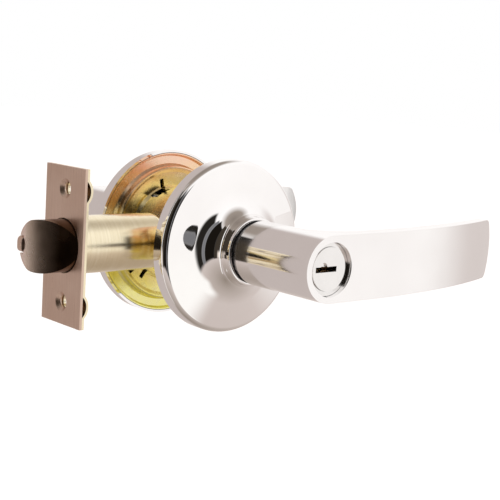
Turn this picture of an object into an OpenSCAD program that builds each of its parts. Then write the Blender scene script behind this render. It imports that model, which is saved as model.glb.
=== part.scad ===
// Lever handle lockset: two levers on round roses, a drum chassis, a key cylinder in the
// outer lever, a turn button in the inner lever, and a bevelled latch with a deadlatch plunger.
//
// Frame: the spindle axis is Y and the latch axis is X, and they cross at the origin in the
// middle of the door. The key side faces -Y, the latch bolt points to -X, the grips to +X.

/* [Door] */
// Thickness of the door between the two roses
door_t = 35; // [34:0.5:38]
// Distance from the spindle axis to the front of the faceplate
backset = 60.3; // [60:0.1:70]

/* [Latch] */
// Height of the faceplate
plate_h = 57.15; // [55:0.05:60]
// Width of the faceplate
plate_w = 25.4; // [24:0.1:28]
// Distance between the two faceplate screw holes
screw_pitch = 41; // [39:0.5:42]
// Diameter of the faceplate screw holes
screw_hole_d = 4.4; // [4:0.1:4.8]
// Outer diameter of the latch tube
tube_d = 21.2; // [21:0.1:22]
// Diameter of the round bolt
bolt_d = 19.2; // [18.8:0.1:19.3]
// How far the bolt stands out of the faceplate, and how far it draws back
bolt_throw = 12.7; // [12:0.1:13]
// How far the deadlatch plunger stands out past the bolt nose
plunger_lead = 1; // [0.5:0.1:1.5]

/* [Chassis] */
// Outer diameter of the chassis drum
drum_d = 36.8; // [36.8:0.1:38]
// Turn of a lever from level to its stop, in degrees
lever_turn = 54; // [54:1:60]
// Radius of the circle that the retractor drive pins move on
drive_r = 14; // [14:0.1:14.2]

/* [Rose] */
// Diameter of a rose
rose_d = 66; // [64:1:72]
// Height of the straight rim of a rose
rim_h = 3.6; // [3:0.1:4]
// Outer diameter of the neck of a rose
neck_d = 25.6; // [25.4:0.1:27]
// Distance from a rose's door side to the end of its neck
neck_h = 18.7; // [18.7:0.1:20]

/* [Lever] */
// Distance from the middle of the door to the front of a lever
lever_front = 76; // [75:0.5:80]
// Diameter of the round shank, and height of the blade
lever_h = 24; // [24:0.5:26]
// Distance from the spindle axis to the tip of the lever
lever_len = 107; // [95:1:120]
// Thickness of the blade beside the shank
blade_t = 6.6; // [6:0.2:8]
// Thickness of the blade at its tip
tip_t = 5; // [4:0.5:6]
// Radius of the curve that brings the blade back towards the door
return_r = 255; // [220:5:320]

/* [Key cylinder] */
// Diameter of the recess in the lever front
recess_d = 19.2; // [19.2:0.1:19.6]
// Depth from the lever front to the face of the plug
recess_depth = 1.4; // [1:0.1:2]
// Diameter of the plug's face
plug_face_d = 15.6; // [14:0.1:16]
// Number of pin stacks
pin_count = 5; // [3:1:5]

/* [Hidden] */
$fn = 64;
eps = 0.01;             // overshoot of a cut past a face
run = 0.1;              // radial running clearance
gap = 0.3;              // clearance between parts that move past each other
seat_gap = 0.02;        // radial clearance of a part pressed into its seat
half_door = door_t / 2;

// latch
plate_t = 1;
back_plate_t = 0.9;
plate_back_x = -backset + plate_t;
bolt_hole_d = bolt_d + 0.8;
countersink_d = 7.2;
countersink_depth = 1.2;
dimple_h = 0.7;         // how far the countersink bulges out behind the faceplate
dimple_wall = 0.4;
joggle_h = 7.4;         // height of the arch in the back plate at each screw
joggle_depth = 1.6;
tube_r = tube_d / 2;
tube_wall = 0.7;
tube_end_x = -20;
tube_round = 3;         // rounding of the tube's inner end
bolt_r = bolt_d / 2;
bolt_rear_x = -43;
bolt_nose_w = 5;        // width of the flat nose at the far side of the bevel
bevel_r = 42;           // crown of the bevel
plunger_w = 6;          // height of the deadlatch plunger
plunger_inner_y = 6.1;
plunger_rear_x = -41;
tail_t = 2;
tail_h = 6;
tail_end_x = -6.9;
hook_h = 11;
hook_t = 2;
end_plug_x = tube_end_x - 3.4;
end_plug_t = 2.2;

// chassis
drum_r = drum_d / 2;
drum_wall = 1.2;
drum_half = 13.6;
spindle_r = 9.5;
spindle_wall = 1.2;
hub_wall = 1.6;
hub_r = spindle_r + run + hub_wall;
hub_flange_t = 1.4;
hub_end = 20.2;         // distance of the hub's end from the middle of the door
arm_t = 2.6;
arm_start = 3.5;
arm_w = 3.6;
drive_pin_r = 1;
drive_pin_gap = 0.15;
arm_rest = -lever_turn / 2;         // angle of the drive arms from +Z at rest
drive_x = drive_r * sin(arm_rest);  // place of the drive slot at rest
retractor_half_t = 2.6;
retractor_top = 14.2;
retractor_h = 9;
prong_w = 1.4;
claw_x = -11.5;
retractor_end_x = 1;
spring_plate_x = 14.2;

// mounting plate, nut and spring cage, as distances from the middle of the door
plate_back = drum_half + hub_flange_t;
sheet_t = 1.2;
slot_in = 18.5;         // inner end of the slots around the raised middle of a mounting plate
slot_len = 3.8;
slot_w = 1.8;
dish_r = 24.4;          // outer edge of the dish around the raised middle
rim_r = 31.8;
ridge_r = 26.7;         // ridge of a mounting plate that centres it in the cross bore
screw_head_r = 1.95;    // heads of the plate screws, between the nut and the raised middle
nut_r = 13.2;
nut_h = 3.2;
cage_r = 22;
cage_start = plate_back + sheet_t + nut_h;
cage_h = 4.4;
cage_wall = 0.8;
driver_start = hub_end + gap;
driver_flange_r = 13.5;
driver_flange_t = 1.4;
torsion_r = 17;
torsion_wire = 1.1;
driver_arm_w = 3.6;
driver_arm_h = 3.2;
driver_arm_end = 15.6;

// rose
rose_r = rose_d / 2;
neck_r = neck_d / 2;
neck_wall = 1;
rose_wall = 1;
rim_round = 2.6;        // rounding between the rim and the cone
cone_h = 1.4;           // rise of the cone
flare_w = 13;           // half width of the ellipse that the flare follows
flare_h = 8;            // half height of the same ellipse
flare_start = 252;      // angle on the ellipse where the cone runs into it
lip_round = 0.4;        // chamfer at the end of the neck
neck_end = half_door + neck_h;
shank_start = neck_end + 2.5;
bush_len = 2.5;
catch_place = neck_end - 1.2;       // the pin hole in the neck leads to the lever's catch
catch_r = 0.6;
pin_hole_r = 0.7;

// lever and cylinder
shank_r = lever_h / 2;
bore_r = recess_d / 2;
flat_len = 20;          // length of the flat front before the return curve starts
tip_arc_r = 24;
tip_corner_r = 3;
fillet_r = 9;
plug_face = lever_front - recess_depth;
shell_r = bore_r - run;
shell_face = plug_face - 0.6;
plug_head_t = 2.4;
shell_rear = 50;
spindle_end = 48;
plug_r = 5.8;
pin_r = 1.2;
pin_first = 68.5;
pin_pitch = 3.8;
key_pin_top = 5.6;
driver_pin_top = 7.7;
keyway_w = 1.9;
keyway_low = -6.5;
keyway_high = 3.5;
button_r = 5;
button_stand = 4;

// ---- helpers ----

// turns a shape drawn along +Z so that it lies along -Y, measured outwards from the door
module outward() rotate([90, 0, 0]) children();

// the same shape on the inner side of the door
module inward() mirror([0, 1, 0]) rotate([90, 0, 0]) children();

// turns a shape drawn along +Z so that it lies along +X
module along_x() rotate([0, 90, 0]) children();

module tube(r_out, r_in, h) {
    difference() {
        cylinder(r = r_out, h = h);
        translate([0, 0, -eps]) cylinder(r = r_in, h = h + 2 * eps);
    }
}

// a flat sector of a ring between two angles
module ring_sector(r_in, r_out, from, to, h) {
    steps = 8;
    linear_extrude(height = h) polygon(concat(
        [for (i = [0 : steps]) let (a = from + (to - from) * i / steps) r_out * [cos(a), sin(a)]],
        [for (i = [steps : -1 : 0]) let (a = from + (to - from) * i / steps) r_in * [cos(a), sin(a)]]
    ));
}

// a coil spring along +Z, its ends closed by flat caps
module coil(r, wire_r, h, turns, sides = 6, segments = 14) {
    rings = floor(turns * segments);
    rise = (h - 2 * wire_r) / rings;
    points = [for (i = [0 : rings], j = [0 : sides - 1])
        let (a = 360 * turns * i / rings, b = 360 * j / sides, q = r + wire_r * cos(b))
        [q * cos(a), q * sin(a), wire_r + rise * i + wire_r * sin(b)]];
    skin = [for (i = [0 : rings - 1], j = [0 : sides - 1])
        let (k = (j + 1) % sides)
        [i * sides + j, i * sides + k, (i + 1) * sides + k, (i + 1) * sides + j]];
    first = [for (j = [sides - 1 : -1 : 0]) j];
    last = [for (j = [0 : sides - 1]) rings * sides + j];
    polyhedron(points, concat(skin, [first, last]));
}

// ---- latch ----

module latch_faceplate() {
    color("rosybrown") translate([-backset, 0, 0]) difference() {
        union() {
            translate([0, -plate_w / 2, -plate_h / 2]) cube([plate_t, plate_w, plate_h]);
            at_screws() translate([0, 0, plate_t]) cylinder(
                d1 = countersink_d - 0.6, d2 = screw_hole_d + 2 * dimple_wall, h = dimple_h
            );
        }
        translate([-eps, 0, 0]) along_x() cylinder(d = bolt_hole_d, h = plate_t + 2 * eps);
        at_screws() {
            translate([0, 0, -eps]) cylinder(d = screw_hole_d, h = plate_t + dimple_h + 2 * eps);
            cylinder(d1 = countersink_d, d2 = screw_hole_d, h = countersink_depth);
        }
    }
}

// the two screw places of the faceplate, each with +Z turned to point inwards
module at_screws() {
    for (side = [-1, 1]) translate([0, 0, side * screw_pitch / 2]) along_x() children();
}

// sheet behind the faceplate, arched away from it around each screw; the tube passes into it
module latch_backplate() {
    arch_r = (pow(joggle_h / 2, 2) + pow(joggle_depth, 2)) / (2 * joggle_depth);
    arch_x = joggle_depth - arch_r;
    color("tan") translate([plate_back_x, 0, 0]) difference() {
        union() {
            difference() {
                translate([0, -plate_w / 2, -plate_h / 2]) cube([back_plate_t, plate_w, plate_h]);
                at_screws() translate([-joggle_h / 2, -plate_w / 2 - eps, -eps])
                    cube([joggle_h, plate_w + 2 * eps, back_plate_t + 2 * eps]);
            }
            for (side = [-1, 1]) translate([arch_x, plate_w / 2, side * screw_pitch / 2])
                rotate([90, 0, 0]) intersection() {
                    tube(arch_r + back_plate_t, arch_r, plate_w);
                    translate([-arch_x, -joggle_h, 0]) cube([2 * arch_r, 2 * joggle_h, plate_w]);
                }
        }
        translate([-eps, 0, 0]) along_x() cylinder(r = tube_r + seat_gap, h = back_plate_t + 2 * eps);
        at_screws() cylinder(d = screw_hole_d, h = joggle_depth + back_plate_t + 1);
    }
}

// drawn tube with its inner end rounded over
module latch_tube() {
    len = tube_end_x - plate_back_x;
    inner = tube_r - tube_wall;
    mouth = tube_r - tube_round;
    color("wheat") translate([plate_back_x, 0, 0]) along_x() difference() {
        union() {
            cylinder(r = tube_r, h = len - tube_round);
            translate([0, 0, len - tube_round]) rounded_end(tube_r, tube_round);
        }
        translate([0, 0, -eps]) cylinder(r = inner, h = len - tube_round + eps);
        translate([0, 0, len - tube_round - eps]) rounded_end(inner, tube_round - tube_wall);
        cylinder(r = mouth, h = len + eps);
    }
}

// a disc whose outer edge is rounded over with radius q
module rounded_end(r, q) {
    rotate_extrude() {
        square([r - q, q]);
        translate([r - q, 0]) intersection() {
            circle(r = q);
            square(q);
        }
    }
}

module latch_end_plug() {
    color("dimgray") translate([end_plug_x - end_plug_t, 0, 0]) difference() {
        along_x() cylinder(r = tube_r - tube_wall, h = end_plug_t);
        translate([-eps, -tail_t / 2 - gap, -tail_h / 2 - gap])
            cube([end_plug_t + 2 * eps, tail_t + 2 * gap, tail_h + 2 * gap]);
    }
}

// round bolt with a crowned bevel on the outer side and a groove for the deadlatch plunger
module latchbolt() {
    nose_x = -backset - bolt_throw;
    start = [-backset + 1, -bolt_r];
    end = [nose_x, bolt_r - bolt_nose_w];
    half = norm(end - start) / 2;
    inward_way = [end[1] - start[1], start[0] - end[0]] / (2 * half);
    centre = (start + end) / 2 + inward_way * sqrt(bevel_r * bevel_r - half * half);
    color("rosybrown") difference() {
        intersection() {
            translate([nose_x, 0, 0]) along_x() {
                translate([0, 0, 1.2]) cylinder(r = bolt_r, h = bolt_rear_x - nose_x - 1.2);
                translate([0, 0, 1.2]) mirror([0, 0, 1]) rounded_end(bolt_r, 1.2);
            }
            translate([centre[0], centre[1], -bolt_r - 1])
                cylinder(r = bevel_r, h = 2 * bolt_r + 2, $fn = 128);
        }
        translate([nose_x - 1, plunger_inner_y - gap, -plunger_w / 2 - gap])
            cube([bolt_rear_x - nose_x + 2, bolt_r, plunger_w + 2 * gap]);
    }
}

// flat strip from the bolt to the retractor, with a cross hook at its end
module latchbolt_tail() {
    color("silver") {
        translate([bolt_rear_x, -tail_t / 2, -tail_h / 2])
            cube([tail_end_x - bolt_rear_x, tail_t, tail_h]);
        translate([tail_end_x - hook_t, -tail_t / 2, -hook_h / 2]) cube([hook_t, tail_t, hook_h]);
    }
}

module deadlatch_plunger() {
    nose_x = -backset - bolt_throw - plunger_lead;
    len = plunger_rear_x - nose_x;
    round_r = plunger_w / 2 - 0.4;
    color("rosybrown") intersection() {
        translate([nose_x, 0, 0]) along_x() {
            translate([0, 0, 1.5]) cylinder(r = bolt_r, h = len - 1.5);
            translate([0, 0, 1.5]) mirror([0, 0, 1]) rounded_end(bolt_r, 1.5);
        }
        union() {
            translate([nose_x + round_r, plunger_inner_y, -plunger_w / 2])
                cube([len - round_r, bolt_r, plunger_w]);
            for (z = [round_r - plunger_w / 2, plunger_w / 2 - round_r])
                translate([nose_x + round_r, plunger_inner_y, z]) rotate([-90, 0, 0])
                    cylinder(r = round_r, h = bolt_r);
            translate([nose_x, plunger_inner_y, round_r - plunger_w / 2])
                cube([round_r + 1, bolt_r, plunger_w - 2 * round_r]);
        }
    }
}

module latchbolt_spring() {
    x0 = bolt_rear_x;
    color("gray") translate([x0, 0, 0]) along_x()
        coil(4.3, 0.5, end_plug_x - end_plug_t - x0, 6);
}

module deadlatch_spring() {
    color("gray") translate([plunger_rear_x, 7.8, 0]) along_x()
        coil(1.2, 0.3, end_plug_x - end_plug_t - plunger_rear_x, 8, segments = 10);
}

// ---- chassis ----

module chassis_housing() {
    window = [3.6, 5.2];
    color("goldenrod") difference() {
        translate([0, drum_half, 0]) rotate([90, 0, 0]) tube(drum_r, drum_r - drum_wall, 2 * drum_half);
        for (end = [-1, 1]) translate([0, end * drum_half + 2, 0]) rotate([90, 0, 0]) boot_feet(4);
        translate([-drum_r - 1, -window[0], -window[1]]) cube([drum_r, 2 * window[0], 2 * window[1]]);
    }
}

// plate that hooks the bolt's tail and is drawn back by the drive pins in its top slot
module retractor() {
    t = 2 * retractor_half_t;
    slot_half = drive_pin_r + drive_pin_gap;
    pocket = [tail_end_x - hook_t - gap, hook_h / 2 + gap];
    mouth_h = tail_h / 2 + gap;
    color("silver") translate([0, -retractor_half_t, 0]) difference() {
        union() {
            translate([claw_x, 0, -retractor_h])
                cube([retractor_end_x - claw_x, t, 2 * retractor_h]);
            translate([drive_x - slot_half - prong_w, 0, 0])
                cube([2 * (slot_half + prong_w), t, retractor_top]);
        }
        translate([drive_x - slot_half, -eps, drive_r * cos(arm_rest) - drive_pin_r - gap])
            cube([2 * slot_half, t + 2 * eps, retractor_top]);
        translate([pocket[0], -eps, -pocket[1]]) cube([hook_t + 2 * gap, t + 2 * eps, 2 * pocket[1]]);
        translate([claw_x - eps, -eps, -mouth_h]) cube([pocket[0] - claw_x + 1, t + 2 * eps, 2 * mouth_h]);
    }
}

module retractor_track() {
    color("darkkhaki") translate([-13, -3.2, -retractor_h - 2.1]) cube([26, 6.4, 2]);
}

module retractor_spring_plate() {
    color("darkkhaki") translate([spring_plate_x, -2.4, -8]) cube([0.8, 4.8, 16]);
}

module retractor_springs() {
    color("gray") for (side = [-1, 1]) translate([retractor_end_x, 0, side * 5.2])
        along_x() coil(1.9, 0.35, spring_plate_x - retractor_end_x, 8, segments = 12);
}

// ---- parts that both sides share, drawn with the door's middle at z = 0 ----

// flange that closes the drum, and the hub that carries the spindle
module hub() {
    difference() {
        union() {
            translate([0, 0, drum_half]) cylinder(r = drum_r - 0.4, h = hub_flange_t);
            translate([0, 0, drum_half]) cylinder(r = hub_r, h = hub_end - drum_half);
        }
        cylinder(r = spindle_r + run, h = hub_end + 1);
        screw_places() translate([0, 0, drum_half - 1]) cylinder(r = 1.5, h = 4);
        translate([0, 0, drum_half - 1]) boot_feet(4);
    }
}

module screw_places() {
    for (a = [0, 120, 240]) rotate(a) translate([15.6, 0, 0]) children();
}

// pressed plate: raised middle, dish, ridge that fits the cross bore, channel, rim, and slots
module mounting_plate() {
    top = half_door;
    low = plate_back;
    bore = hub_r + run;
    face = [
        [bore, low], [drum_r - 0.2, low], [drum_r + 0.8, low + 1.2], [dish_r, low + 0.9],
        [ridge_r - 1.1, low], [ridge_r - 0.5, low - 0.1], [ridge_r - 0.2, low + 0.2],
        [ridge_r, low + 0.8], [ridge_r + 0.1, top], [ridge_r + 0.9, top + 0.9],
        [rim_r - 1.2, top + 1.1], [rim_r - 0.6, top + 0.2], [rim_r - 0.5, top], [rim_r, top],
    ];
    back = [
        [rim_r, top + sheet_t], [rim_r - 0.9, top + 2.3], [ridge_r + 0.1, top + 2.1],
        [ridge_r - 1, top + 1], [ridge_r - 1.2, low + 2.4], [dish_r, low + 2.1],
        [drum_r + 0.2, low + 2.4], [drum_r - 0.8, low + sheet_t], [bore, low + sheet_t],
    ];
    difference() {
        rotate_extrude($fn = 96) polygon(concat(face, back));
        translate([0, 0, plate_back - 4]) {
            boot_feet(8);
            for (a = [105, 285, 52, 232]) rotate(a) translate([slot_in, -slot_w / 2, 0])
                cube([slot_len, slot_w, 8]);
            for (a = [38, 218]) rotate(a) translate([dish_r - 2.2, -slot_w / 2, 0])
                cube([2.2, slot_w, 8]);
        }
        screw_places() translate([0, 0, plate_back - 1]) cylinder(r = 1.6, h = 4);
    }
}

// the arc openings at the foot of two of the slots, which also notch the flange and the drum
module boot_feet(h) {
    for (a = [104, 284]) ring_sector(slot_in - 2, slot_in + 0.2, a, a + 22, h);
}

// ring nut with wrench notches
module hub_nut() {
    z = plate_back + sheet_t;
    difference() {
        translate([0, 0, z]) tube(nut_r, hub_r, nut_h);
        for (a = [0 : 60 : 300]) rotate(a) translate([nut_r - 0.9, -1.2, z - eps])
            cube([2, 2.4, nut_h + 2 * eps]);
    }
}

module plate_screws() {
    screw_places() {
        translate([0, 0, drum_half]) cylinder(r = 1.5, h = hub_flange_t + sheet_t);
        translate([0, 0, plate_back + sheet_t]) difference() {
            cylinder(r = screw_head_r, h = 1.4);
            for (a = [0, 90]) rotate(a) translate([-1.5, -0.3, 0.8]) cube([3, 0.6, 1]);
        }
    }
}

module spring_cage() {
    difference() {
        translate([0, 0, cage_start]) cylinder(r = cage_r, h = cage_h);
        translate([0, 0, cage_start + cage_wall]) cylinder(r = cage_r - cage_wall, h = cage_h);
        translate([0, 0, cage_start - eps]) cylinder(r = hub_r, h = cage_h);
    }
}

// two turns of wire whose ends bend inwards on both sides of the driver's arm
module torsion_spring() {
    z = cage_start + cage_wall + 0.1;
    w = torsion_wire / 2;
    leg_y = -sqrt(pow(torsion_r, 2) - pow(driver_arm_w / 2 + w + 0.1, 2));
    step = asin((driver_arm_w / 2 + w + 0.1) / torsion_r);
    turns = 2 - 2 * step / 360;
    h = cage_h - cage_wall - 0.1;
    translate([0, 0, z]) {
        rotate(-90 + step) coil(torsion_r, w, h, turns, segments = 20);
        for (side = [-1, 1]) translate([side * (driver_arm_w / 2 + w + 0.1), leg_y, side > 0 ? w : h - w])
            rotate([-90, 0, 0]) cylinder(r = w, h = 3, $fn = 12);
    }
}

// sleeve that joins the spindle to the spring, with the arm that winds it
module spring_driver() {
    difference() {
        union() {
            translate([0, 0, driver_start]) cylinder(r = hub_r, h = shank_start - driver_start);
            translate([0, 0, driver_start]) cylinder(r = driver_flange_r, h = driver_flange_t);
            translate([-driver_arm_w / 2, -driver_arm_end, driver_start])
                cube([driver_arm_w, 6, driver_arm_h]);
        }
        cylinder(r = spindle_r + 0.02, h = shank_start + 1);
        translate([-hub_r - 1, 0, catch_place]) rotate([0, 90, 0])
            cylinder(r = catch_r + 0.05, h = hub_r);
    }
}

// outline of a rose: straight rim, rounded edge, shallow cone, and an elliptical flare
function rose_outline(inset) = let (
    corner = [rose_r - rim_round, half_door + rim_h],
    flare = [neck_r + flare_w, half_door + rim_h + rim_round + cone_h + flare_h]
) concat(
    [[rose_r - inset, half_door]],
    [for (a = [0 : 10 : 80]) corner + (rim_round - inset) * [cos(a), sin(a)]],
    [for (a = [flare_start : -6 : 180])
        flare + [(flare_w + inset) * cos(a), (flare_h + inset) * sin(a)]],
    [[neck_r - inset, neck_end - lip_round]]
);

// pressed cover: straight rim, rounded edge, shallow cone, flared neck with a turned-in lip
module rose() {
    outer = rose_outline(0);
    inner = rose_outline(rose_wall);
    difference() {
        rotate_extrude($fn = 128) polygon(concat(
            outer, [[neck_r - lip_round, neck_end], [neck_r - neck_wall, neck_end]],
            [for (i = [len(inner) - 1 : -1 : 0]) inner[i]]
        ));
        pin_hole();
    }
}

// small hole in the side of the neck for the tool that frees the lever
module pin_hole() {
    translate([-neck_r - 1, 0, catch_place]) rotate([0, 90, 0]) cylinder(r = pin_hole_r, h = 4);
}

module neck_bush() {
    difference() {
        translate([0, 0, neck_end - bush_len - 0.2]) tube(neck_r - neck_wall, hub_r + run, bush_len);
        pin_hole();
    }
}

// hollow spindle with the arm and pin that draw the retractor back
module spindle() {
    translate([0, 0, arm_start]) difference() {
        cylinder(r = spindle_r, h = spindle_end - arm_start);
        translate([0, 0, arm_t]) cylinder(r = spindle_r - spindle_wall, h = spindle_end);
    }
}

module drive_arm(out) {
    rotate([0, arm_rest, 0]) {
        translate([-arm_w / 2, out > 0 ? arm_start + 0.2 : 0.2 - arm_start - arm_t, 0])
            cube([arm_w, arm_t - 0.4, drive_r + 1.2]);
        translate([0, out > 0 ? gap : -gap, drive_r]) rotate([out > 0 ? -90 : 90, 0, 0])
            cylinder(r = drive_pin_r, h = arm_start + 1);
    }
}

// blade seen from above: flat beside the shank, then the front and the back follow two arcs
module blade() {
    run_len = lever_len - flat_len;
    front_drop = return_r - sqrt(return_r * return_r - run_len * run_len);
    back_drop = front_drop + tip_t - blade_t;
    back_r = (run_len * run_len + back_drop * back_drop) / (2 * back_drop);
    back = lever_front - blade_t;
    difference() {
        union() {
            translate([0, -shank_r, back]) cube([flat_len, lever_h, blade_t]);
            translate([flat_len, 0, 0]) arc_block(return_r, lever_front, lever_h);
        }
        translate([flat_len, 0, 0]) arc_block(back_r, back, lever_h + 2);
        translate([-2 * return_r, -lever_h, -2 * return_r]) cube([2 * return_r, 2 * lever_h, 4 * return_r]);
    }
}

// a lying cylinder whose highest line is at z = top
module arc_block(r, top, width) {
    translate([0, width / 2, top - r]) rotate([90, 0, 0]) cylinder(r = r, h = width, $fn = 180);
}

// flare that blends the shank into the back of the blade
module blade_flare() {
    top = lever_front - blade_t + 1;
    rotate_extrude() polygon(concat(
        [[shank_r - 1, top - fillet_r - 1]],
        [for (a = [180 : -10 : 90]) [
            shank_r + fillet_r + fillet_r * cos(a), top - 1 - fillet_r + fillet_r * sin(a)
        ]],
        [[shank_r + fillet_r, top], [shank_r - 1, top]]
    ));
}

// outline of the blade from the front, with a bowed tip and rounded corners
module tip_outline() {
    inner_r = tip_arc_r - tip_corner_r;
    corner_z = shank_r - tip_corner_r;
    corner_x = lever_len - tip_arc_r + sqrt(inner_r * inner_r - corner_z * corner_z);
    tilt = asin(corner_z / inner_r);
    polygon(concat(
        [[-1, -shank_r]],
        [for (i = [0 : 6]) let (a = -90 + (90 - tilt) * i / 6)
            [corner_x + tip_corner_r * cos(a), -corner_z + tip_corner_r * sin(a)]],
        [for (i = [1 : 9]) let (a = -tilt + 2 * tilt * i / 10)
            [lever_len - tip_arc_r + tip_arc_r * cos(a), tip_arc_r * sin(a)]],
        [for (i = [0 : 6]) let (a = tilt + (90 - tilt) * i / 6)
            [corner_x + tip_corner_r * cos(a), corner_z + tip_corner_r * sin(a)]],
        [[-1, shank_r]]
    ));
}

module lever() {
    difference() {
        union() {
            translate([0, 0, shank_start]) cylinder(r = shank_r, h = lever_front - shank_start, $fn = 96);
            intersection() {
                blade();
                linear_extrude(height = lever_front + 1) tip_outline();
            }
            intersection() {
                blade_flare();
                translate([0, -shank_r, 0]) cube([lever_len, 2 * shank_r, lever_front]);
            }
        }
        translate([0, 0, shank_start - 1]) cylinder(r = bore_r, h = lever_front);
    }
}

// spring catch that holds the lever on its spindle, reached through the pin hole in the neck
module lever_catch() {
    translate([-hub_r + 0.1, 0, catch_place]) rotate([0, 90, 0])
        cylinder(r = catch_r, h = hub_r - spindle_r - 0.15);
}

// ---- outer side ----

module outer_hub() color("goldenrod") outward() hub();
module outer_mounting_plate() color("gold") outward() mounting_plate();
module outer_hub_nut() color("goldenrod") outward() hub_nut();
module outer_plate_screws() color("silver") outward() plate_screws();
module outer_spring_cage() color("goldenrod") outward() spring_cage();
module outer_torsion_spring() color("gray") outward() torsion_spring();

module outer_rose() color("gainsboro") outward() rose();
module outer_neck_bush() color("black") outward() neck_bush();
module outer_spring_driver() color("dimgray") outward() spring_driver();
module outer_lever_catch() color("silver") outward() lever_catch();

module outer_spindle() {
    color("silver") {
        outward() spindle();
        drive_arm(-1);
    }
}

module outer_lever() color("gainsboro") outward() lever();

function pin_y(i) = pin_first - pin_pitch * i;

module cylinder_shell() {
    color("silver") outward() difference() {
        translate([0, 0, shell_rear]) cylinder(r = shell_r, h = shell_face - shell_rear);
        translate([0, 0, shell_rear - 1]) cylinder(r = plug_r + run / 2, h = lever_front);
        translate([0, 0, plug_face - plug_head_t - run]) cylinder(r = plug_face_d / 2 + run, h = 10);
        for (i = [0 : pin_count - 1]) translate([0, 0, pin_y(i)]) rotate([0, 90, 0])
            cylinder(r = pin_r + 0.05, h = shell_r + 1);
    }
}

module key_plug() {
    color("gainsboro") outward() difference() {
        union() {
            translate([0, 0, shell_rear - 1.6]) cylinder(r = plug_r, h = plug_face - shell_rear + 1.6 - 1);
            translate([0, 0, plug_face - plug_head_t]) cylinder(r = plug_face_d / 2, h = plug_head_t);
        }
        translate([keyway_low, -keyway_w / 2, shell_rear + 1])
            cube([keyway_high - keyway_low, keyway_w, lever_front]);
        translate([-2.6, keyway_w / 2, plug_face - 0.8]) cylinder(r = 1.5, h = 1, $fn = 32);
        for (i = [0 : pin_count - 1]) translate([0, 0, pin_y(i)]) rotate([0, 90, 0])
            cylinder(r = pin_r + 0.05, h = plug_r + 1);
    }
}

module key_pins() {
    color("peru") outward() for (i = [0 : pin_count - 1]) {
        low = 1.4 + 0.5 * ((i * 3) % 4);
        translate([low, 0, pin_y(i)]) rotate([0, 90, 0]) {
            cylinder(r1 = 0.4, r2 = pin_r, h = 0.8, $fn = 32);
            translate([0, 0, 0.8]) cylinder(r = pin_r, h = key_pin_top - low - 0.8, $fn = 32);
        }
    }
}

module driver_pins() {
    start = plug_r + run / 2;
    color("peru") outward() for (i = [0 : pin_count - 1])
        translate([start, 0, pin_y(i)]) rotate([0, 90, 0])
            cylinder(r = pin_r, h = driver_pin_top - start, $fn = 32);
}

module pin_springs() {
    color("gray") outward() for (i = [0 : pin_count - 1])
        translate([driver_pin_top, 0, pin_y(i)]) rotate([0, 90, 0])
            coil(0.9, 0.2, shell_r - driver_pin_top, 2, segments = 10, sides = 5);
}

// snap ring behind the shell that keeps the plug in
module plug_clip() {
    color("dimgray") outward() translate([0, 0, shell_rear - 1.2]) difference() {
        tube(7.4, plug_r, 0.9);
        translate([0, -1.5, -1]) cube([10, 3, 3]);
    }
}

module plug_tailpiece() {
    reach = 9;
    color("silver") outward() {
        translate([-3, -0.8, reach]) cube([6, 1.6, shell_rear - 1.6 - reach]);
    }
}

// ---- inner side ----

module inner_hub() color("goldenrod") inward() hub();
module inner_mounting_plate() color("gold") inward() mounting_plate();
module inner_hub_nut() color("goldenrod") inward() hub_nut();
module inner_plate_screws() color("silver") inward() plate_screws();
module inner_spring_cage() color("goldenrod") inward() spring_cage();
module inner_torsion_spring() color("gray") inward() torsion_spring();

module inner_rose() color("gainsboro") inward() rose();
module inner_neck_bush() color("black") inward() neck_bush();
module inner_spring_driver() color("dimgray") inward() spring_driver();
module inner_lever_catch() color("silver") inward() lever_catch();

module inner_spindle() {
    color("silver") {
        inward() spindle();
        drive_arm(1);
    }
}

module inner_lever() color("gainsboro") inward() lever();

module button_bezel() {
    color("silver") inward() translate([0, 0, shell_face - 8]) tube(shell_r, button_r + 0.2, 8);
}

// thumb turn: round base with a raised grip bar
module turn_button() {
    base = lever_front - 10;
    color("gainsboro") inward() {
        translate([0, 0, base]) cylinder(r = button_r, h = lever_front - base);
        translate([-button_r + 0.6, -1.5, lever_front]) cube([2 * button_r - 1.2, 3, button_stand]);
    }
}

module locking_bar() {
    reach = 9;
    color("silver") inward() translate([-3, -0.8, reach]) cube([6, 1.6, lever_front - 10 - reach]);
}

module button_clip() {
    color("dimgray") inward() translate([0, 0, shell_face - 9.2]) difference() {
        tube(6.6, 3.2, 0.9);
        translate([0, -1.5, -1]) cube([10, 3, 3]);
    }
}

latch_faceplate();
latch_backplate();
latch_tube();
latch_end_plug();
latchbolt();
latchbolt_tail();
deadlatch_plunger();
latchbolt_spring();
deadlatch_spring();
chassis_housing();
retractor();
retractor_track();
retractor_spring_plate();
retractor_springs();
outer_hub();
outer_mounting_plate();
outer_hub_nut();
outer_plate_screws();
outer_spring_cage();
outer_torsion_spring();
outer_rose();
outer_neck_bush();
outer_spindle();
outer_spring_driver();
outer_lever();
outer_lever_catch();
cylinder_shell();
key_plug();
key_pins();
driver_pins();
pin_springs();
plug_clip();
plug_tailpiece();
inner_hub();
inner_mounting_plate();
inner_hub_nut();
inner_plate_screws();
inner_spring_cage();
inner_torsion_spring();
inner_rose();
inner_neck_bush();
inner_spindle();
inner_spring_driver();
inner_lever();
inner_lever_catch();
button_bezel();
turn_button();
locking_bar();
button_clip();
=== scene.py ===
"""Lever handle lockset: looks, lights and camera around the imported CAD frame."""
import math

import bmesh
import bpy
from mathutils import Matrix, Vector


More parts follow.
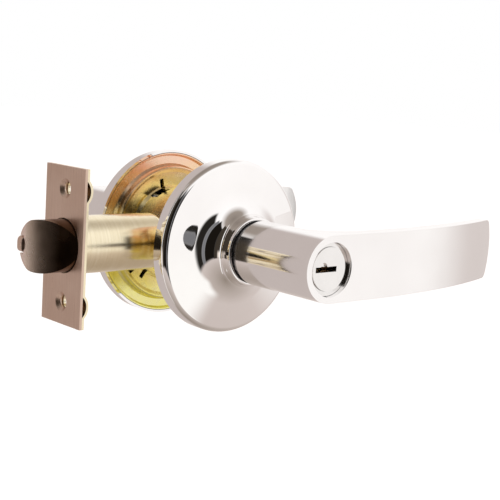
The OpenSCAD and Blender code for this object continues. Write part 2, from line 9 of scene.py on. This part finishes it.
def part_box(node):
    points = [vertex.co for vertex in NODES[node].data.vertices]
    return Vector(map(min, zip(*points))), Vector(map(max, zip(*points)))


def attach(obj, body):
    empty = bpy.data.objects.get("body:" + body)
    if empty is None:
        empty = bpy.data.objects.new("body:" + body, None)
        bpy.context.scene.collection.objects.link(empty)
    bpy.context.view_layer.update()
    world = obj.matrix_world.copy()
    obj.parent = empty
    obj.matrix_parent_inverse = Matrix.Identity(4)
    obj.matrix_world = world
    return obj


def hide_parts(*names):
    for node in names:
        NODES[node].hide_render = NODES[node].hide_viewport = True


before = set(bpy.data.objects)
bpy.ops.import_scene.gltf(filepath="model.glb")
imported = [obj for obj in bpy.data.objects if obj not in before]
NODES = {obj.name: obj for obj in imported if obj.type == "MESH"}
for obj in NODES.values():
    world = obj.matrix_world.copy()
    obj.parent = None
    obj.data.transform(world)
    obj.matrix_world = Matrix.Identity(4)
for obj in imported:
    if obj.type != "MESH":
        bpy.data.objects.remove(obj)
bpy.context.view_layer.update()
MM = 0.001
SIDES = {"outer": -1, "inner": 1}   # the side of the door, and the way it lies along Y

# Section of a rose, the same as in the CAD.
NECK_R, WALL, EDGE_ROUND, RIM_H, CONE_H, LIP = (v * MM for v in (12.8, 1.0, 2.6, 3.6, 1.4, 0.4))
FLARE_W, FLARE_H = 13.0 * MM, 8.0 * MM      # half sizes of the ellipse that the flare follows
EDGE_ARC, FLARE_ARC = (0, 80, 14), (252, 180, 40)   # start and stop in degrees, and steps
PIN_HOLE_R = 0.7 * MM
PIN_HOLE_DEPTH = 1.2 * MM                   # from the end of the neck
PIN_HOLE_X = (-14.5 * MM, -11.0 * MM)       # from outside the neck to inside it

# Camera, fitted to the photograph's viewing angle; across and up move it in its own plane.
AZIMUTH, ELEVATION, ROLL = (math.radians(v) for v in (-41.59, 8.54, 3.64))
DISTANCE, ACROSS, UP = (v * MM for v in (457.07, 21.57, -4.72))
LENS, SENSOR = 83.95, 36.0
NEAR_CLIP, FAR_CLIP = 0.01, 20.0

FLOOR_HALF, FLOOR_Z, FLOOR_GLOW = 6.0, -0.22, 0.6
CREASE = math.radians(38)       # edges sharper than this are rounded


# ---- node helpers ----

class Tree:
    """A small wrapper that adds nodes to the tree of one material or world and links them."""

    def __init__(self, owner):
        owner.use_nodes = True
        self.owner = owner
        self.nodes = owner.node_tree.nodes
        self.links = owner.node_tree.links
        self.shader = self.nodes.get("Principled BSDF")

    def add(self, kind, **values):
        """Adds a node. Names with a capital first letter are inputs, the others are properties."""
        node = self.nodes.new(kind)
        for key, value in values.items():
            if key[0].isupper():
                self.put(node.inputs[key.replace("_", " ")], value)
            else:
                setattr(node, key, value)
        return node

    def put(self, socket, value):
        if isinstance(value, bpy.types.NodeSocket):
            self.links.new(value, socket)
        else:
            socket.default_value = value

    def set(self, **values):
        for key, value in values.items():
            self.put(self.shader.inputs[key.replace("_", " ")], value)

    def coords(self, scale=(1, 1, 1), turn=(0, 0, 0)):
        """Object coordinates in metres, scaled and turned."""
        place = self.add("ShaderNodeTexCoord").outputs["Object"]
        mapping = self.add("ShaderNodeMapping", Vector=place)
        mapping.inputs["Scale"].default_value = scale
        mapping.inputs["Rotation"].default_value = turn
        return mapping.outputs["Vector"]

    def noise(self, vector, scale, detail=3.0, roughness=0.5):
        node = self.add("ShaderNodeTexNoise", Vector=vector, Scale=scale, Detail=detail, Roughness=roughness)
        return node.outputs["Fac"]

    def ramp(self, fac, *stops):
        """Maps fac through colour stops of (place, colour)."""
        node = self.add("ShaderNodeValToRGB", Fac=fac)
        band = node.color_ramp
        while len(band.elements) < len(stops):
            band.elements.new(0.5)
        for element, (place, colour) in zip(band.elements, stops):
            element.position = place
            element.color = (*colour, 1) if len(colour) == 3 else colour
        return node.outputs["Color"]

    def span(self, value, low, high, to_low, to_high, **looks):
        """Maps value from low..high to to_low..to_high, and holds it there beyond them."""
        node = self.add("ShaderNodeMapRange", Value=value, **looks)
        for name, number in zip(("From Min", "From Max", "To Min", "To Max"), (low, high, to_low, to_high)):
            node.inputs[name].default_value = number
        return node.outputs["Result"]

    def math(self, operation, a, b=0.0):
        node = self.add("ShaderNodeMath", operation=operation)
        self.put(node.inputs[0], a)
        self.put(node.inputs[1], b)
        return node.outputs["Value"]

    def mix(self, fac, a, b, blend="MIX"):
        node = self.add("ShaderNodeMix", data_type="RGBA", blend_type=blend)
        self.put(node.inputs[0], fac)
        self.put(node.inputs[6], a if isinstance(a, bpy.types.NodeSocket) else (*a, 1))
        self.put(node.inputs[7], b if isinstance(b, bpy.types.NodeSocket) else (*b, 1))
        return node.outputs[2]

    def bump(self, height, strength, distance):
        node = self.add("ShaderNodeBump", Height=height, Strength=strength, Distance=distance)
        self.put(self.shader.inputs["Normal"], node.outputs["Normal"])


def new_tree(name):
    return Tree(bpy.data.materials.new(name))


# ---- materials ----

def chrome(name, smooth_end, worn_end):
    """Mirror chrome with a slow swell from polishing, hairline scratches and faint smudges."""
    t = new_tree(name)
    where = t.coords()
    smudge = t.noise(where, 38.0, 4.0, 0.6)
    hair = t.noise(t.coords((40, 40, 1400), (0.5, 0.3, 0.2)), 6.0, 2.0)
    rough = t.math("ADD", t.span(smudge, 0.45, 0.75, smooth_end, worn_end),
                   t.span(hair, 0.62, 0.8, 0.0, 0.03))
    tint = t.ramp(smudge, (0.3, (0.96, 0.95, 0.945)), (0.7, (0.925, 0.91, 0.905)))
    t.set(Metallic=1.0, Base_Color=tint, Roughness=rough)
    t.bump(t.noise(where, 22.0, 1.0), 0.06, 0.0006)
    return t.owner


def satin_nickel():
    """Brushed nickel: fine lines along Z, warm tone, darker towards worn patches."""
    t = new_tree("satin_nickel")
    lines = t.noise(t.coords((900, 900, 14)), 3.0, 4.0, 0.65)
    blotch = t.noise(t.coords(), 60.0, 3.0)
    colour = t.mix(0.35, t.ramp(lines, (0.3, (0.62, 0.455, 0.36)), (0.7, (0.79, 0.61, 0.50))),
                   t.ramp(blotch, (0.35, (0.66, 0.48, 0.38)), (0.65, (0.82, 0.65, 0.54))))
    t.set(Metallic=1.0, Base_Color=colour, Roughness=t.span(lines, 0.3, 0.7, 0.26, 0.4), Anisotropic=0.4)
    t.bump(lines, 0.12, 0.00006)
    return t.owner


def bolt_nickel():
    """Smooth sintered bolt: brown nickel, lighter at the nose and darker towards the faceplate, partly oil
    and partly painted shade.
    """
    t = new_tree("bolt_nickel")
    along = t.add("ShaderNodeSeparateXYZ", Vector=t.coords()).outputs["X"]
    # painted shade: the base colour darkens along X from the nose to the faceplate end, partly oil and
    # partly painted shade
    bright_nose_to, dark_from = -73 * MM, -65 * MM
    oil_and_shade = t.span(along, bright_nose_to, dark_from, 0.0, 1.0)
    drag = t.noise(t.coords((25, 700, 700)), 2.0, 3.0, 0.6)
    blotch = t.noise(t.coords(), 90.0, 3.0)
    nose = t.mix(0.4, t.ramp(drag, (0.3, (0.80, 0.66, 0.58)), (0.7, (0.92, 0.79, 0.71))),
                 t.ramp(blotch, (0.3, (0.78, 0.64, 0.56)), (0.7, (0.94, 0.82, 0.75))))
    # dark colour at the faceplate end: partly oil, partly painted shade
    oily_shaded_root = t.ramp(blotch, (0.3, (0.10, 0.055, 0.03)), (0.7, (0.20, 0.12, 0.075)))
    t.set(Metallic=1.0, Base_Color=t.mix(oil_and_shade, nose, oily_shaded_root), Roughness=t.span(blotch, 0.3, 0.7, 0.2, 0.32))
    t.bump(drag, 0.06, 0.00004)
    return t.owner


def champagne_zinc():
    """Drawn tube with a pale champagne plate: soft lines round it and a light cloudiness."""
    t = new_tree("champagne_zinc")
    rings = t.noise(t.coords((900, 20, 20)), 2.0, 3.0, 0.6)
    cloud = t.noise(t.coords(), 45.0, 3.0, 0.55)
    colour = t.mix(0.5, t.ramp(rings, (0.3, (0.82, 0.70, 0.47)), (0.7, (0.95, 0.86, 0.64))),
                   t.ramp(cloud, (0.3, (0.84, 0.72, 0.49)), (0.7, (0.97, 0.90, 0.70))))
    t.set(Metallic=1.0, Base_Color=colour, Roughness=t.span(cloud, 0.3, 0.7, 0.16, 0.26))
    t.bump(rings, 0.05, 0.00005)
    return t.owner


def gold_zinc():
    """Yellow zinc plate: gold, its film shifting from rose at the top to yellow-green below."""
    t = new_tree("gold_zinc")
    place = t.add("ShaderNodeSeparateXYZ", Vector=t.coords())
    radius = t.math("SQRT", t.math("ADD", t.math("POWER", place.outputs["X"], 2.0),
                                   t.math("POWER", place.outputs["Z"], 2.0)))
    top, foot = 30 * MM, -30 * MM
    plain_to, full_from = 20 * MM, 27 * MM      # the shift fades in between these radii
    drift = t.math("MULTIPLY", t.span(place.outputs["Z"], top, foot, -0.27, 0.25),
                   t.span(radius, plain_to, full_from, 0.0, 1.0))
    slow = t.math("ADD", t.span(t.noise(t.coords(), 30.0, 2.0, 0.5), 0.3, 0.7, 0.43, 0.60), drift)
    fine = t.noise(t.coords(), 260.0, 4.0, 0.6)
    film = t.ramp(slow, (0.22, (0.90, 0.58, 0.46)), (0.36, (0.92, 0.64, 0.40)), (0.46, (0.92, 0.77, 0.42)),
                  (0.72, (0.90, 0.86, 0.32)))
    colour = t.mix(t.span(fine, 0.35, 0.7, 0.0, 0.3), film, (0.96, 0.88, 0.62))
    t.set(Metallic=1.0, Base_Color=colour, Roughness=t.span(fine, 0.3, 0.7, 0.16, 0.32))
    t.bump(fine, 0.08, 0.00005)
    return t.owner


def plain_steel():
    """Bare pressed steel with an oily, blotched surface."""
    t = new_tree("plain_steel")
    blotch = t.noise(t.coords(), 160.0, 5.0, 0.65)
    colour = t.ramp(blotch, (0.3, (0.42, 0.42, 0.43)), (0.7, (0.66, 0.655, 0.65)))
    t.set(Metallic=1.0, Base_Color=colour, Roughness=t.span(blotch, 0.3, 0.7, 0.22, 0.42))
    t.bump(blotch, 0.1, 0.00004)
    return t.owner


def satin_chrome():
    """Plug and button faces: chrome with fine turned rings round Y."""
    t = new_tree("satin_chrome")
    rings = t.add("ShaderNodeTexWave", Vector=t.coords((1, 0, 1)), Scale=900.0, Distortion=0.6, Detail=2.0,
                  wave_type="RINGS", rings_direction="SPHERICAL").outputs["Fac"]
    cloud = t.noise(t.coords(), 120.0, 3.0)
    t.set(Metallic=1.0, Base_Color=t.ramp(cloud, (0.3, (0.84, 0.83, 0.82)), (0.7, (0.92, 0.91, 0.90))),
          Roughness=t.span(cloud, 0.3, 0.7, 0.12, 0.22))
    t.bump(rings, 0.05, 0.00003)
    return t.owner


def pin_brass():
    t = new_tree("pin_brass")
    turned = t.noise(t.coords((2500, 60, 60)), 1.0, 2.0)
    t.set(Metallic=1.0, Base_Color=t.ramp(turned, (0.3, (0.55, 0.33, 0.15)), (0.7, (0.80, 0.56, 0.30))),
          Roughness=t.span(turned, 0.3, 0.7, 0.2, 0.35))
    t.bump(turned, 0.1, 0.00003)
    return t.owner


def dark_nylon():
    t = new_tree("dark_nylon")
    grain = t.noise(t.coords(), 900.0, 4.0, 0.6)
    t.set(Base_Color=t.ramp(grain, (0.3, (0.012, 0.012, 0.013)), (0.7, (0.03, 0.03, 0.032))),
          Roughness=t.span(grain, 0.3, 0.7, 0.4, 0.6))
    t.bump(grain, 0.2, 0.00003)
    return t.owner


def assign(material, *names):
    """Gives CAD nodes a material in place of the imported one."""
    for name in names:
        mesh = NODES[name].data
        mesh.materials.clear()
        mesh.materials.append(material)


def both(*names):
    return [f"{side}_{name}" for side in SIDES for name in names]


# Edge rounding in millimetres, and the nodes that get it.
SOFT_EDGES = {
    0.9: both("lever"),
    0.25: ["latchbolt", "deadlatch_plunger", "turn_button"],
    0.15: ["latch_faceplate", "latch_backplate", "button_bezel", *both("hub_nut")],
    0.12: ["key_plug", "cylinder_shell", "latch_tube", *both("plate_screws")],
}


def soften(thing, width):
    """Rounds the sharp edges of a node, inwards, so that they catch the light."""
    bevel = thing.modifiers.new("soft_edges", "BEVEL")
    bevel.width = width
    bevel.segments = 3
    bevel.limit_method = "ANGLE"
    bevel.angle_limit = CREASE
    bevel.harden_normals = True


def rose_section(neck_end, door, rim_r):
    """Half section of a rose as (radius, distance from the middle of the door), outside then inside."""
    corner = (rim_r - EDGE_ROUND, door + RIM_H)
    centre = (NECK_R + FLARE_W, door + RIM_H + EDGE_ROUND + CONE_H + FLARE_H)
    outside, inside = (
        [(rim_r - inset, door)]
        + ellipse(corner, EDGE_ROUND - inset, EDGE_ROUND - inset, sweep(*EDGE_ARC))
        + ellipse(centre, FLARE_W + inset, FLARE_H + inset, sweep(*FLARE_ARC))
        for inset in (0.0, WALL)
    )
    soft = 0.3 * LIP
    end = [(NECK_R, neck_end - LIP), (NECK_R - soft, neck_end - soft), (NECK_R - LIP, neck_end),
           (NECK_R - WALL, neck_end)]
    return outside + end + inside[::-1]


def ellipse(centre, across, along, angles):
    """Points on an ellipse with the given centre and half sizes."""
    return [(centre[0] + across * math.cos(a), centre[1] + along * math.sin(a)) for a in angles]


def sweep(start, stop, steps):
    """Evenly spaced angles in radians, with both ends, from a start and a stop in degrees."""
    return [math.radians(start + (stop - start) * i / steps) for i in range(steps + 1)]


def lathe(name, section, sign, material, segments=288):
    """A solid of revolution about Y; sign is -1 for the outer side of the door and 1 for the inner."""
    shape = bmesh.new()
    rings = []
    for angle in sweep(0, 360, segments)[:-1]:
        across, up = math.cos(angle), math.sin(angle)
        rings.append([shape.verts.new((r * across, sign * y, r * up)) for r, y in section])
    for ring, following in zip(rings, rings[1:] + rings[:1]):
        for i in range(len(section)):
            k = (i + 1) % len(section)
            shape.faces.new((ring[i], ring[k], following[k], following[i]))
    bmesh.ops.recalc_face_normals(shape, faces=shape.faces)
    thing = to_object(name, shape)
    thing.data.materials.append(material)
    return thing


def to_object(name, shape):
    """Turns a finished bmesh into an object in the scene."""
    mesh = bpy.data.meshes.new(name)
    shape.to_mesh(mesh)
    shape.free()
    thing = bpy.data.objects.new(name, mesh)
    bpy.context.scene.collection.objects.link(thing)
    return thing


def drill(thing, start, end, radius):
    """Cuts a round hole through a piece."""
    shape = bmesh.new()
    bmesh.ops.create_cone(shape, cap_ends=True, segments=48, radius1=radius, radius2=radius,
                          depth=(end - start).length)
    turn = (end - start).to_track_quat("Z", "Y").to_matrix().to_4x4()
    bmesh.ops.transform(shape, matrix=Matrix.Translation((start + end) / 2) @ turn, verts=shape.verts)
    cutter = to_object("drill", shape)
    cut = thing.modifiers.new("cut", "BOOLEAN")
    cut.object = cutter
    cut.operation = "DIFFERENCE"
    cut.solver = "EXACT"
    bpy.context.view_layer.update()
    result = bpy.data.meshes.new_from_object(thing.evaluated_get(bpy.context.evaluated_depsgraph_get()))
    thing.modifiers.remove(cut)
    thing.data = result
    bpy.data.objects.remove(cutter)


def smooth(thing, degrees=35):
    """Shades a piece smooth, apart from its edges sharper than the given angle."""
    for face in thing.data.polygons:
        face.use_smooth = True
    thing.data.set_sharp_from_angle(angle=math.radians(degrees))


def add_roses(material):
    """Finely turned roses in place of the faceted ones, with the pin hole in the side of the neck."""
    for side, sign in SIDES.items():
        low, high = (Vector(v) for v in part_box(f"{side}_rose"))
        near, far = sorted((abs(low.y), abs(high.y)))
        rose = lathe(f"{side}_rose_shell", rose_section(far, near, high.z), sign, material)
        start, end = (Vector((x, sign * (far - PIN_HOLE_DEPTH), 0)) for x in PIN_HOLE_X)
        drill(rose, start, end, PIN_HOLE_R)
        smooth(rose)
        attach(rose, "lock_body")
        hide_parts(f"{side}_rose")


def dress_frame():
    """Gives every CAD node its material, turns the roses, and softens the edges that show."""
    polished = chrome("polished_chrome", smooth_end=0.02, worn_end=0.045)
    assign(polished, *both("rose"))
    assign(chrome("handled_chrome", smooth_end=0.1, worn_end=0.17), *both("lever"))
    add_roses(polished)
    assign(satin_chrome(), "key_plug", "turn_button", "cylinder_shell", "button_bezel")
    assign(satin_nickel(), "latch_faceplate", "deadlatch_plunger")
    assign(bolt_nickel(), "latchbolt")
    assign(champagne_zinc(), "latch_tube", "latch_backplate")
    assign(gold_zinc(), "chassis_housing", "retractor_track", "retractor_spring_plate",
           *both("hub", "mounting_plate", "hub_nut", "spring_cage"))
    assign(plain_steel(), "latchbolt_tail", "latchbolt_spring", "deadlatch_spring", "retractor",
           "retractor_springs", "plug_tailpiece", "locking_bar", "plug_clip", "button_clip", "pin_springs",
           *both("plate_screws", "torsion_spring", "spindle", "spring_driver", "lever_catch"))
    assign(pin_brass(), "key_pins", "driver_pins")
    assign(dark_nylon(), "latch_end_plug", *both("neck_bush"))
    for width, names in SOFT_EDGES.items():
        for name in names:
            soften(NODES[name], width * MM)


# ---- stage ----

def add_camera():
    """Camera at the viewing angle: to the latch side, slightly above, with a small roll."""
    flat = math.cos(ELEVATION)
    back = Vector((math.sin(AZIMUTH) * flat, -math.cos(AZIMUTH) * flat, math.sin(ELEVATION)))
    turn = (-back).to_track_quat("-Z", "Y").to_matrix() @ Matrix.Rotation(ROLL, 3, "Z")
    camera = bpy.data.objects.new("camera", bpy.data.cameras.new("camera"))
    camera.data.sensor_width = SENSOR
    camera.data.lens = LENS
    camera.matrix_world = (Matrix.Translation(back * DISTANCE + turn @ Vector((ACROSS, UP, 0)))
                           @ turn.to_4x4())
    camera.data.clip_start = NEAR_CLIP
    camera.data.clip_end = FAR_CLIP
    bpy.context.scene.collection.objects.link(camera)
    bpy.context.scene.camera = camera


def add_floor():
    """Pale floor well below the lockset, which a door would hold. It glows a little, to read white."""
    t = new_tree("pale_floor")
    grain = t.noise(t.coords(), 14.0, 4.0)
    t.set(Base_Color=t.ramp(grain, (0.3, (0.93, 0.93, 0.93)), (0.7, (0.96, 0.96, 0.96))), Roughness=0.9,
          Emission_Color=(1, 1, 1, 1), Emission_Strength=FLOOR_GLOW)
    mesh = bpy.data.meshes.new("floor")
    corners = [(x * FLOOR_HALF, y * FLOOR_HALF, FLOOR_Z) for x, y in ((-1, -1), (1, -1), (1, 1), (-1, 1))]
    mesh.from_pydata(corners, [], [(0, 1, 2, 3)])
    mesh.materials.append(t.owner)
    floor = bpy.data.objects.new("floor", mesh)
    floor.visible_glossy = False
    bpy.context.scene.collection.objects.link(floor)


def between(t, value, low, high, soft):
    """1 while value is between low and high, falling smoothly to 0 over soft on both sides."""
    rise, fall = (t.span(value, edge - half, edge + half, 0.0, 1.0, interpolation_type="SMOOTHSTEP")
                  for edge, half in ((low, soft), (high, -soft)))
    return t.math("MULTIPLY", rise, fall)


# The tent's panels: a span of bearing (from -Y towards +X) and of rise above the horizon, in
# degrees, how soft their edges are, and the light that comes from them. They were set so that
# the chrome mirrors about what it does in the photograph from the main camera.
PANELS = (
    ("grey back wall", (-190, -112), (-70, 60), 6, (0.55, 0.48, 0.455)),
    ("grey back wall", (152, 190), (-70, 60), 8, (0.55, 0.48, 0.455)),
    ("dark gap beside the camera", (-116, -58), (-26, 60), 2, (0.05, 0.04, 0.03)),
    ("low lamp", (-100, -80), (-26, -8), 6, (0.9, 0.8, 0.72)),
    ("strip light", (-103, -96), (-70, 70), 2, (1.2, 1.18, 1.16)),
    ("dark room behind the camera", (-60, -18), (-25, 48), 3, (0.01, 0.008, 0.006)),
    ("dark stand beside the camera", (-12, 8), (-25, 30), 3, (0.02, 0.018, 0.015)),
    ("grey gap between them", (-19, -11), (-25, 40), 2, (0.20, 0.20, 0.21)),
    ("white card on the floor", (6, 30), (-40, -10), 6, (1.05, 1.03, 1.0)),
    ("dim end of the right wall", (74, 104), (-30, 12), 10, (0.70, 0.635, 0.61)),
)


def add_light():
    """A studio tent: white sides, dim ceiling and floor, and the panels that the chrome mirrors.

    The camera itself sees plain white behind the lockset; everything else sees the tent.
    """
    world = bpy.data.worlds.new("studio")
    bpy.context.scene.world = world
    t = Tree(world)
    way = t.add("ShaderNodeSeparateXYZ", Vector=t.add("ShaderNodeTexCoord").outputs["Generated"])
    towards = t.math("MULTIPLY", way.outputs["Y"], -1)
    bearing = t.math("DEGREES", t.math("ARCTAN2", way.outputs["X"], towards))
    rise = t.math("DEGREES", t.math("ARCSINE", way.outputs["Z"]))
    tent = t.ramp(t.span(rise, -90, 90, 0, 1), (0.0, (0.30, 0.25, 0.21)), (0.25, (0.52, 0.45, 0.41)),
                  (0.36, (0.66, 0.58, 0.545)), (0.42, (1.0, 0.97, 0.95)), (0.74, (1.08, 1.06, 1.05)),
                  (0.84, (0.36, 0.31, 0.27)), (1.0, (0.26, 0.22, 0.19)))
    for _, bearings, rises, soft, light in PANELS:
        where = t.math("MULTIPLY", between(t, bearing, *bearings, soft), between(t, rise, *rises, soft))
        tent = t.mix(where, tent, light)
    background = t.nodes["Background"]
    t.put(background.inputs["Color"], tent)
    white = t.add("ShaderNodeBackground", Color=(1, 1, 1, 1), Strength=1.0)
    chooser = t.add("ShaderNodeMixShader")
    t.put(chooser.inputs[0], t.add("ShaderNodeLightPath").outputs["Is Camera Ray"])
    t.put(chooser.inputs[1], background.outputs["Background"])
    t.put(chooser.inputs[2], white.outputs["Background"])
    t.put(t.nodes["World Output"].inputs["Surface"], chooser.outputs["Shader"])


dress_frame()
add_camera()
add_floor()
add_light()
bpy.context.scene.view_settings.view_transform = "Standard"
bpy.context.view_layer.update()
